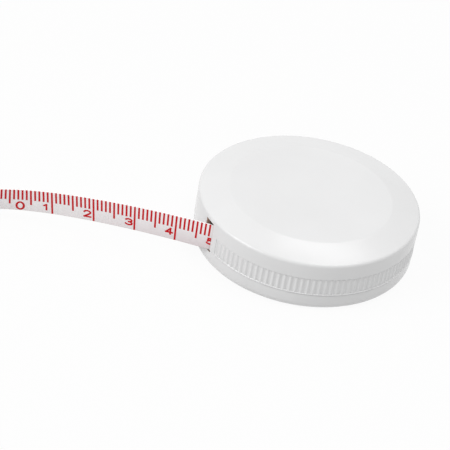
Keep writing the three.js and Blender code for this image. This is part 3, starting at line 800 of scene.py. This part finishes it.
# %% One rib
RIB_COUNT = 120
RIB_WIDTH_SHARE = 0.8
RIB_ROOT = 0.12
RIB_HALF_WIDTH = math.pi * CASE_RADIUS / RIB_COUNT * RIB_WIDTH_SHARE
RIB_CREST_DROP = 0.05
RIB_HEIGHT = CASE_RADIUS - RIB_CREST_DROP - RIB_FLOOR
RIB_END_ROUND = 0.32
RIB_SIDES = 12
RIB_END_STEPS = 4
RIB_END_SHARE = 0.93


def rib_section(z, share):
    """Section of a rib at a height, with the share that is left of its full width and height."""
    half_width = RIB_HALF_WIDTH * share
    asides = [1 - 2 * side / RIB_SIDES for side in range(RIB_SIDES + 1)]
    crest = [(RIB_HEIGHT * math.cos(math.pi / 2 * aside) ** 2 * share, half_width * aside, z)
             for aside in asides]
    return [(-RIB_ROOT, half_width, z), *crest, (-RIB_ROOT, -half_width, z)]


def rib():
    """Bar with a soft crest: X outwards, Y round the case, Z up, on the wall at X = 0."""
    sections = [rib_section(UPPER_Z + RIB_FOOT - RIB_ROOT, 1.0)]
    for step in range(RIB_END_STEPS + 1):
        turn = math.pi / 2 * step / RIB_END_STEPS * RIB_END_SHARE
        sections.append(rib_section(RIB_TOP_Z - RIB_END_ROUND * (1 - math.sin(turn)), math.cos(turn)))
    return piece("rib", skin(sections))


# %% Ribs round the wall
def new_geometry_tree(name, inputs):
    """Geometry Nodes tree with named inputs. Returns the graph, and each input's link and identifier."""
    tree = bpy.data.node_groups.new(name, "GeometryNodeTree")
    graph = Graph(tree)
    tree.interface.new_socket("Geometry", in_out="INPUT", socket_type="NodeSocketGeometry")
    tree.interface.new_socket("Geometry", in_out="OUTPUT", socket_type="NodeSocketGeometry")
    sockets = {
        label: tree.interface.new_socket(label, in_out="INPUT", socket_type="NodeSocket" + kind)
        for label, kind in inputs.items()
    }
    entry = tree.nodes.new("NodeGroupInput")
    links = {label: Link(graph, entry.outputs[label]) for label in ["Geometry", *inputs]}
    identifiers = {label: socket.identifier for label, socket in sockets.items()}
    return graph, links, identifiers


def finish_tree(graph, instances, material):
    """Makes the instances real, gives them their material and sends them out."""
    real = graph.add("GeometryNodeRealizeInstances", {"Geometry": instances})
    painted = graph.add("GeometryNodeSetMaterial", {"Geometry": real, "Material": material})
    graph.add("NodeGroupOutput", {"Geometry": painted})


def run_tree(obj, graph, identifiers, values):
    """Runs the tree on an object with these values and keeps the result as its mesh."""
    modifier = obj.modifiers.new(graph.tree.name, "NODES")
    modifier.node_group = graph.tree
    for label, value in values.items():
        modifier[identifiers[label]] = value
    return settle(obj)


def rib_ring():
    graph, link, identifiers = new_geometry_tree("rib_ring", {
        "Count": "Int", "Radius": "Float", "Plain Angle": "Float", "Plain Half Angle": "Float",
        "Rib": "Object", "Material": "Material",
    })
    circle = graph.add("GeometryNodeMeshCircle", {"Vertices": link["Count"], "Radius": link["Radius"]})
    x, y, _ = graph.parts(graph.add("GeometryNodeInputPosition"))
    angle = y.angle_to(x)
    away = angle - link["Plain Angle"]
    near = abs(away.sine().angle_to(away.cosine())) < link["Plain Half Angle"]
    points = graph.add("GeometryNodeDeleteGeometry", {"Geometry": circle, "Selection": near})
    one_rib = graph.add("GeometryNodeObjectInfo", {"Object": link["Rib"]})
    placed = graph.add("GeometryNodeInstanceOnPoints", {
        "Points": points, "Instance": graph.output(one_rib, "Geometry"),
        "Rotation": graph.vector(0.0, 0.0, angle),
    })
    finish_tree(graph, placed, link["Material"])
    rib_object = rib()
    ring = add_object("rib_ring", bpy.data.meshes.new("rib_ring"))
    run_tree(ring, graph, identifiers, {
        "Count": RIB_COUNT, "Radius": RIB_FLOOR * MM, "Plain Angle": plain_angle,
        "Plain Half Angle": plain_half_angle, "Rib": rib_object, "Material": shell_white,
    })
    bpy.data.objects.remove(rib_object)
    return ring


ribs = rib_ring()
print("ribs:", len(ribs.data.polygons), "faces")
join_solid(upper_shell, ribs, "UNION")

# %% [markdown]
# ## Mouth
# The tape leaves through a straight slot. It is open down to the parting line, so that the tape can be laid
# in before the case is closed, and it is let a little into the edge of the lower shell, so that the tape
# doesn't rub there. The same block cuts it through both shells.

# %% Cut the mouth and fit the upper cover
MOUTH_SILL = 0.4


def mouth_block():
    reach = -math.sqrt((LIP_RADIUS - LIP_WALL) ** 2 - MOUTH_FRONT ** 2) + OVERRUN
    low = Vector((-(CASE_RADIUS + OVERRUN), MOUTH_FRONT, LOWER_Z - MOUTH_SILL))
    high = Vector((reach, MOUTH_BACK, MOUTH_TOP_Z))
    mesh = bmesh.new()
    bmesh.ops.create_cube(mesh, size=1.0)
    for vertex in mesh.verts:
        share = vertex.co + Vector((0.5, 0.5, 0.5))
        vertex.co = low + share * (high - low)
    # The block's faces give the cut walls of the slot the second material, the painted shade.
    for face in mesh.faces:
        face.material_index = 1
    return piece("mouth_block", mesh, shell_white, painted_inside_shade)


join_solid(upper_shell, mouth_block(), "DIFFERENCE")
fit(upper_shell, "case", "case_plastic", "upper_cover")

# %% [markdown]
# ## Lower cover
# The lower shell is a hair smaller in radius than the upper one, and a narrow gap between them draws the
# fine dark parting line. Inside it has a spigot lip and three pegs for the plate that holds the arbor.

# %% Turned shell, pegs and mouth of the lower cover
plate_low, plate_high = (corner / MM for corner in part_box("arbor_plate"))
PEG_COUNT = 3
PEG_TO_EDGE = 1.3
PEG_CIRCLE = plate_high.x - PEG_TO_EDGE
PEG_RADIUS = 0.6
PEG_FOOT_RADIUS = 1.0
PEG_SEGMENTS = 32
BUTTON_CLEARANCE = 0.25
BUTTON_FLANGE = 1.3
BUTTON_BORE = button_high.x - BUTTON_FLANGE
BUTTON_RADIUS = BUTTON_BORE - BUTTON_CLEARANCE


def lower_skin():
    outline = rounded([
        (BUTTON_BORE, 0, EDGE_FILLET * 2),
        (LOWER_RADIUS, 0, BOTTOM_ROUND),
        (LOWER_RADIUS, LOWER_Z, EDGE_FILLET / 2),
        (LIP_RADIUS, LOWER_Z, 0),
        (LIP_RADIUS, LIP_TOP_Z, EDGE_FILLET),
        (LIP_RADIUS - LIP_WALL, LIP_TOP_Z, EDGE_FILLET),
        (LIP_RADIUS - LIP_WALL, FLOOR_WALL, EDGE_FILLET),
        (BUTTON_BORE, FLOOR_WALL, EDGE_FILLET),
    ], steps=10)
    mesh = mark_inside(lathe(outline, SKIN_SEGMENTS), FLOOR_WALL / 2, LIP_TOP_Z + OVERRUN, 1)
    return piece("lower_shell", mesh, shell_white, painted_inside_shade)


def peg(index):
    foot_top = plate_low.z - SEAT_GAP
    outline = rounded([
        (0, FLOOR_WALL / 2, 0),
        (PEG_FOOT_RADIUS, FLOOR_WALL / 2, 0),
        (PEG_FOOT_RADIUS, foot_top, EDGE_FILLET),
        (PEG_RADIUS, foot_top, 0),
        (PEG_RADIUS, plate_high.z, EDGE_FILLET),
        (0, plate_high.z, 0),
    ])
    mesh = lathe(outline, PEG_SEGMENTS)
    turn = 2 * math.pi * index / PEG_COUNT
    bmesh.ops.translate(mesh, verts=mesh.verts,
                        vec=(PEG_CIRCLE * math.cos(turn), PEG_CIRCLE * math.sin(turn), 0))
    return piece(f"peg_{index}", mesh, shell_white)


lower_shell = lower_skin()
for index in range(PEG_COUNT):
    join_solid(lower_shell, peg(index), "UNION")
join_solid(lower_shell, mouth_block(), "DIFFERENCE")
fit(lower_shell, "case", "case_plastic", "lower_cover")

# %% [markdown]
# ## Release button
# The button fills the bore of the underside. Its face lies flush with the ring round it, with a rounded edge
# that a finger finds, and its stem runs up through the arbor to the brake.

# %% Button
STEM_RADIUS = 1.6
SCREW_HOLE = 0.55
SCREW_DEPTH = 3.55
BUTTON_EDGE = 0.3
BUTTON_WALL = 1.1
BUTTON_SKIN = 1.0
BUTTON_SEGMENTS = 144
FLANGE_THICKNESS = 0.5
FLANGE_Z = FLOOR_WALL + SEAT_GAP
FLANGE_TOP_Z = FLANGE_Z + FLANGE_THICKNESS


def button():
    outline = rounded([
        (0, 0, 0),
        (BUTTON_RADIUS, 0, BUTTON_EDGE),
        (BUTTON_RADIUS, FLANGE_Z, 0),
        (button_high.x, FLANGE_Z, EDGE_FILLET),
        (button_high.x, FLANGE_TOP_Z, EDGE_FILLET),
        (BUTTON_RADIUS - BUTTON_WALL, FLANGE_TOP_Z, EDGE_FILLET),
        (BUTTON_RADIUS - BUTTON_WALL, BUTTON_SKIN, EDGE_FILLET),
        (STEM_RADIUS, BUTTON_SKIN, EDGE_FILLET),
        (STEM_RADIUS, button_high.z, EDGE_FILLET),
        (SCREW_HOLE, button_high.z, EDGE_FILLET),
        (SCREW_HOLE, button_high.z - SCREW_DEPTH, 0),
        (0, button_high.z - SCREW_DEPTH, 0),
    ])
    return piece("push_button", lathe(outline, BUTTON_SEGMENTS, open_ends=True), button_white)


fit(button(), "button", "button_plastic", "release_button")

# %% [markdown]
# A conical spring pushes the button back. Its wire is swept up a spiral that narrows as it climbs. Its top
# is held by the arbor's plate, and the spring rides on the button.

# %% Return spring
spring_low, spring_high = (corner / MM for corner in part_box("button_spring"))
SPRING_WIRE = 0.35
SPRING_TURNS = 2.5
SPRING_SMALL_RADIUS = 4.2
SPRING_STEPS = 120
WIRE_SIDES = 12


def return_spring():
    wide = max(spring_high.x, -spring_low.x) - SPRING_WIRE / 2
    low, high = spring_low.z + SPRING_WIRE / 2, spring_high.z - SPRING_WIRE / 2
    round_wire = [2 * math.pi * i / WIRE_SIDES for i in range(WIRE_SIDES)]
    up = Vector((0, 0, 1))
    sections = []
    for step in range(SPRING_STEPS + 1):
        share = step / SPRING_STEPS
        turn = 2 * math.pi * SPRING_TURNS * share
        out = Vector((math.cos(turn), math.sin(turn), 0))
        middle = out * (wide + (SPRING_SMALL_RADIUS - wide) * share) + up * (low + (high - low) * share)
        sections.append([middle + (out * math.cos(side) + up * math.sin(side)) * SPRING_WIRE / 2
                         for side in round_wire])
    return piece("return_spring", skin(sections), blued_spring)


spring = fit(return_spring(), "button", "spring_steel", "button_spring")
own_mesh(spring)

# %% [markdown]
# ## Route of the tape
# Every piece on the tape asks one function where it lies. Lengths are counted outwards from the mouth. The
# tape leaves level and stands on its edge. It droops to the table, bows towards the front and leans over as
# it goes. The function gives its place, its direction, the direction across it and the direction out of
# its face.

# %% Route
CLIP_START = TAPE_OUT + LEADER
CLIP_MIDDLE = CLIP_START + CLIP_LENGTH / 2
DROOP = TAPE_Z - (CLIP_HEIGHT - TAPE_WIDTH) / 2 - CLIP_TABLE_GAP
DROOP_LENGTH = CLIP_START + CLIP_LENGTH
ROUTE_PIECES = 48


def heading_at(length):
    return BOW_TURN * min(max(length / BOW_LENGTH, 0), 1) ** BOW_POWER


def on_tape(length):
    """Place of the tape's middle, and its forward, across and face directions, in millimetres."""
    outside = max(length, 0)
    phase = math.pi * outside / DROOP_LENGTH
    step = length / ROUTE_PIECES
    turns = [heading_at(step * (i + 0.5)) for i in range(ROUTE_PIECES)]
    place = Vector((MOUTH_X - step * sum(map(math.cos, turns)),
                    -TAPE_LINE - step * sum(map(math.sin, turns)),
                    TAPE_MIDDLE_Z - DROOP / 2 * (1 - math.cos(phase))))
    heading = heading_at(length)
    slope = DROOP / 2 * math.pi / DROOP_LENGTH * math.sin(phase)
    forward = Vector((-math.cos(heading), -math.sin(heading), -slope)).normalized()
    side = Vector((math.sin(heading), -math.cos(heading), 0))
    lean = LEAN * outside / BOW_LENGTH
    across = (forward.cross(side) * math.cos(lean) + side * math.sin(lean)).normalized()
    return place, forward, across, across.cross(forward).normalized()


BLEND_INSIDE = 8.0
blend_start = on_tape(-BLEND_INSIDE)[0] * MM
blend_end = on_tape(CLIP_MIDDLE)[0] * MM
print(f"the tape droops by {DROOP:.2f} mm over {DROOP_LENGTH:.1f} mm")


def pull_out(obj, *nodes):
    """It lies between the case, where the tape leaves it, and the clip on its end, and its place is baked
    in.
    """
    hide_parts(*nodes)
    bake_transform(obj)
    print(f"{obj.name}: {len(obj.data.polygons)} faces, between case and tape_end")


# %% [markdown]
# ## Tape
# The ribbon is a thin section with rounded edges, set across the route every half millimetre. Each corner
# also stores where it lies on the tape as a UV place, which is what the cloth's weave and tint follow.

# %% Ribbon
TAPE_STEP = 0.5
INNER_END_GAP = 0.3
OUTER_END_GAP = 0.65
TAPE_INNER_END = MOUTH_X + INNER_END_GAP
TAPE_OUTER_END = CLIP_START + CLIP_LENGTH - OUTER_END_GAP
EDGE_ROUND = 0.12


def section():
    """Points of the tape's section: X across the tape and Y out of its face, from its middle."""
    half_width, half_thickness = TAPE_WIDTH / 2, TAPE_THICKNESS / 2
    return rounded([
        (-half_width, -half_thickness, EDGE_ROUND), (half_width, -half_thickness, EDGE_ROUND),
        (half_width, half_thickness, EDGE_ROUND), (-half_width, half_thickness, EDGE_ROUND),
    ], steps=3)


def ribbon():
    count = round((TAPE_OUTER_END - TAPE_INNER_END) / TAPE_STEP)
    lengths = [TAPE_INNER_END + (TAPE_OUTER_END - TAPE_INNER_END) * i / count for i in range(count + 1)]
    points = section()
    sections = []
    for length in lengths:
        place, forward, across, face = on_tape(length)
        sections.append([place + across * point.x + face * point.y for point in points])
    mesh = skin(sections)
    mesh.verts.index_update()
    uv = mesh.loops.layers.uv.new("tape_place")
    places = [(length / TAPE_WIDTH, point.x / TAPE_WIDTH + 0.5) for length in lengths for point in points]
    for face in mesh.faces:
        for loop in face.loops:
            loop[uv].uv = places[loop.vert.index]
    return piece("tape_ribbon", mesh, tape_cloth)


pull_out(ribbon(), "tape_lead")

# %% [markdown]
# ## Printed scale
# The print is a real, very thin layer of ink, so it stays sharp at any distance. Geometry Nodes stand a flat
# bar on each millimetre. Each point carries the directions of the tape there and the length of its line:
# short, half a centimetre, or a full centimetre across the tape.

# %% Millimetre lines
LINE_WIDTH = 0.45
INK_THICKNESS = 0.05
INK_PROUD = 0.015
SHORT_SHARE = 0.475
HALF_SHARE = 0.69
FULL_SHARE = 0.99
FIRST_LINE, LAST_LINE = -2, 52
LINES_PER_FIGURE = 10


def line_share(line):
    if line % LINES_PER_FIGURE == 0 and line > 0:
        return FULL_SHARE
    return HALF_SHARE if line % (LINES_PER_FIGURE // 2) == 0 and line >= 0 else SHORT_SHARE


def on_face(length, across_share, proud):
    """Point on the printed face, from the tape's length and the share of its width from the lower edge."""
    place, forward, across, face = on_tape(length)
    return place + across * TAPE_WIDTH * (across_share - 0.5) + face * (TAPE_THICKNESS / 2 + proud)


def scale_points():
    lines = range(FIRST_LINE, LAST_LINE + 1)
    lengths = [TAPE_OUT - line for line in lines]
    proud = INK_PROUD - INK_THICKNESS / 2
    data = bpy.data.meshes.new("scale_lines")
    data.from_pydata([on_face(length, 1.0, proud) * MM for length in lengths], [], [])
    values = {
        "across": ("FLOAT_VECTOR", [on_tape(length)[2] for length in lengths]),
        "face": ("FLOAT_VECTOR", [on_tape(length)[3] for length in lengths]),
        "line_length": ("FLOAT", [line_share(line) * TAPE_WIDTH * MM for line in lines]),
    }
    for label, (kind, rows) in values.items():
        attribute = data.attributes.new(label, kind, "POINT")
        for row, value in zip(attribute.data, rows):
            setattr(row, "value" if kind == "FLOAT" else "vector", value)
    return add_object("scale_lines", data)


def scale_lines():
    graph, link, identifiers = new_geometry_tree("scale_lines", {
        "Line Width": "Float", "Thickness": "Float", "Material": "Material",
    })

    def stored(label, kind):
        return graph.add("GeometryNodeInputNamedAttribute", {"Name": label}, data_type=kind)

    block = graph.add("GeometryNodeMeshCube", {"Size": (1, 1, 1)})
    hung = graph.add("GeometryNodeTransform", {"Geometry": block, "Translation": (0, -0.5, 0)})
    turned = graph.add("FunctionNodeAxesToRotation", {
        "Primary Axis": stored("face", "FLOAT_VECTOR"), "Secondary Axis": stored("across", "FLOAT_VECTOR"),
    }, primary_axis="Z", secondary_axis="Y")
    size = graph.vector(link["Line Width"], stored("line_length", "FLOAT"), link["Thickness"])
    placed = graph.add("GeometryNodeInstanceOnPoints", {
        "Points": link["Geometry"], "Instance": hung, "Rotation": turned, "Scale": size,
    })
    finish_tree(graph, placed, link["Material"])
    return run_tree(scale_points(), graph, identifiers, {
        "Line Width": LINE_WIDTH * MM, "Thickness": INK_THICKNESS * MM, "Material": red_ink,
    })


pull_out(scale_lines())

# %% [markdown]
# The figures are drawn with a square pen, which needs no font. Each one is a few strokes in a box from 0
# to 1 both ways. A bar is made along each stroke and the bars are joined. Then every point is moved to its
# place on the tape, so the figures bend with it like the rest of the print. They aren't all of one size,
# so each has its own pen, height, width and place.

# %% Strokes of the figures
ARC_STEPS = 16


def arc(middle, radii, start, end):
    """Points of an oval arc between two angles in degrees."""
    turns = [math.radians(start + (end - start) * i / ARC_STEPS) for i in range(ARC_STEPS + 1)]
    return [(middle[0] + radii[0] * math.cos(turn), middle[1] + radii[1] * math.sin(turn)) for turn in turns]


FIGURE_STROKE_SHARES = [
    [arc((0.5, 0.5), (0.5, 0.5), -10, 190), arc((0.5, 0.5), (0.5, 0.5), 170, 370)],
    [[(0, 0.78), (1, 1)], [(1, 1), (1, 0)]],
    [arc((0.5, 0.72), (0.5, 0.28), 165, -45) + [(0, 0)], [(0, 0), (1, 0)]],
    [arc((0.45, 0.76), (0.5, 0.24), 155, -90), arc((0.45, 0.26), (0.55, 0.26), 90, -155)],
    [[(0, 0.3), (1, 0.3)], [(0, 0.3), (0.7, 1)], [(0.7, 1), (0.7, 0)]],
    [[(0.1, 1), (0.9, 1)], [(0.1, 1), (0.05, 0.5)], arc((0.42, 0.33), (0.58, 0.33), 130, -150)],
]


def bar(points, pen):
    """Closed bar as wide as the pen along a stroke in millimetres, with square ends, 1 mm high."""
    places = [Vector(point) for point in points]
    first, last = (places[0] - places[1]).normalized(), (places[-1] - places[-2]).normalized()
    places[0] = places[0] + first * (pen / 2)
    places[-1] = places[-1] + last * (pen / 2)
    sections = []
    for i, place in enumerate(places):
        along = (places[min(i + 1, len(places) - 1)] - places[max(i - 1, 0)]).normalized()
        aside = Vector((-along.y, along.x)) * (pen / 2)
        corners = [(place - aside, 0), (place + aside, 0), (place + aside, 1), (place - aside, 1)]
        sections.append([(corner.x, corner.y, z) for corner, z in corners])
    return skin(sections)


# %% Figures
PEN_WIDTHS = (0.51, 0.43, 0.46, 0.46, 0.45, 0.45)
FIGURE_HEIGHTS = (2.9, 2.15, 2.3, 2.15, 2.05, 1.95)
FIGURE_WIDTHS = (2.2, 1.0, 1.95, 1.9, 1.95, 1.75)
BESIDE_LINE = (-2.45, 1.65, 1.52, 1.34, 1.50, 1.45)
MIDDLE_FROM_TOP = (5.35, 4.98, 4.9, 4.82, 4.75, 4.65)


def figure(number):
    pen = PEN_WIDTHS[number]
    across, high = FIGURE_WIDTHS[number] - pen, FIGURE_HEIGHTS[number] - pen
    strokes = [[(x * across, y * high) for x, y in stroke] for stroke in FIGURE_STROKE_SHARES[number]]
    made = piece(f"figure_{number}", bar(strokes[0], pen), red_ink)
    for stroke in strokes[1:]:
        join_solid(made, piece("stroke", bar(stroke, pen), red_ink), "UNION")
    start = TAPE_OUT - LINES_PER_FIGURE * number + BESIDE_LINE[number] + across / 2
    for vertex in made.data.vertices:
        right, up, out = vertex.co / MM
        share = 1 - (MIDDLE_FROM_TOP[number] + high / 2 - up) / TAPE_WIDTH
        vertex.co = on_face(start - right, share, INK_PROUD - INK_THICKNESS * (1 - out)) * MM
    return made


for number in range(len(FIGURE_STROKE_SHARES)):
    pull_out(figure(number))

# %% [markdown]
# ## End clip
# The tape ends in a folded strip of nickel-plated sheet, held by a rivet. The clip is a bent outline pushed
# up across the tape, and a small bevel gives its edges the highlight that thin plated sheet has.

# %% Clip and rivet
CLIP_SHEET = 0.35
CLIP_GAP = 0.15
CLIP_BACK = 0.5
CLIP_BEVEL = 0.08
FOLD_STEPS = 12
BEVEL_STEPS = 2
RIVET_RADIUS = 0.8
RIVET_HEAD_RADIUS = 1.7
RIVET_HEAD = 0.35
RIVET_ROUND_SHARE = 0.9
RIVET_SEGMENTS = 48


def on_clip():
    """Turns clip coordinates, X along the tape, Y out of its face and Z across it, into the frame's."""
    place, forward, across, face = on_tape(CLIP_MIDDLE)
    return Matrix.Translation(place) @ Matrix((forward, face, across)).transposed().to_4x4()


def clip_outline():
    half_length = CLIP_LENGTH / 2
    slot = TAPE_THICKNESS / 2 + CLIP_GAP
    outer = slot + CLIP_SHEET
    inner_end = half_length - CLIP_BACK
    fold = [
        (half_length - outer + outer * math.cos(turn), outer * math.sin(turn))
        for turn in (math.pi / 2 - math.pi * i / FOLD_STEPS for i in range(FOLD_STEPS + 1))
    ]
    return [(-half_length, slot), (-half_length, outer), *fold, (-half_length, -outer),
            (-half_length, -slot), (inner_end, -slot), (inner_end, slot)]


def clip():
    mesh = skin([[(x, y, z) for x, y in clip_outline()] for z in (-CLIP_HEIGHT / 2, CLIP_HEIGHT / 2)])
    mesh.transform(on_clip())
    made = piece("folded_clip", mesh, nickel)
    bevel = made.modifiers.new("edges", "BEVEL")
    bevel.width = CLIP_BEVEL * MM
    bevel.segments = BEVEL_STEPS
    bevel.limit_method = "ANGLE"
    return settle(made)


def rivet():
    reach = TAPE_THICKNESS / 2 + CLIP_GAP + CLIP_SHEET
    top = reach + RIVET_HEAD
    upper = [(RIVET_RADIUS, reach, 0), (RIVET_HEAD_RADIUS, reach, 0),
             (RIVET_HEAD_RADIUS, top, RIVET_HEAD * RIVET_ROUND_SHARE), (0, top, 0)]
    lower = [(r, -z, fillet) for r, z, fillet in reversed(upper)]
    mesh = lathe(rounded(lower + upper), RIVET_SEGMENTS, open_ends=True)
    mesh.transform(on_clip() @ Matrix.Rotation(math.pi / 2, 4, "X"))
    return piece("clip_rivet_head", mesh, nickel)


fit(clip(), "tape_end", "clip_nickel", "end_clip")
fit(rivet(), "tape_end", "clip_nickel", "clip_rivet")

# %% [markdown]
# ## Pieces inside
# What lies in the case already has its real shape, so each piece only gets its finish.

# %% Finishes of the inner pieces
inner_finish = {
    "arbor_plate": zinc_plate,
    "arbor": turned_steel,
    "arbor_clip_ring": blued_spring,
    "thrust_washer": washer_acetal,
    "reel_hub": reel_ivory,
    "reel_upper_flange": reel_ivory,
    "spring_cover": reel_ivory,
    "mainspring": blued_spring,
    "tape_winding": tape_edges,
    "tape_anchor_pin": turned_steel,
    "brake_disc": zinc_plate,
    "brake_pad": brake_felt,
    "stem_screw": turned_steel,
}
for name, material in inner_finish.items():
    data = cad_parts[name].data
    data.materials.clear()
    data.materials.append(material)
print("inner pieces with a finish:", len(inner_finish))
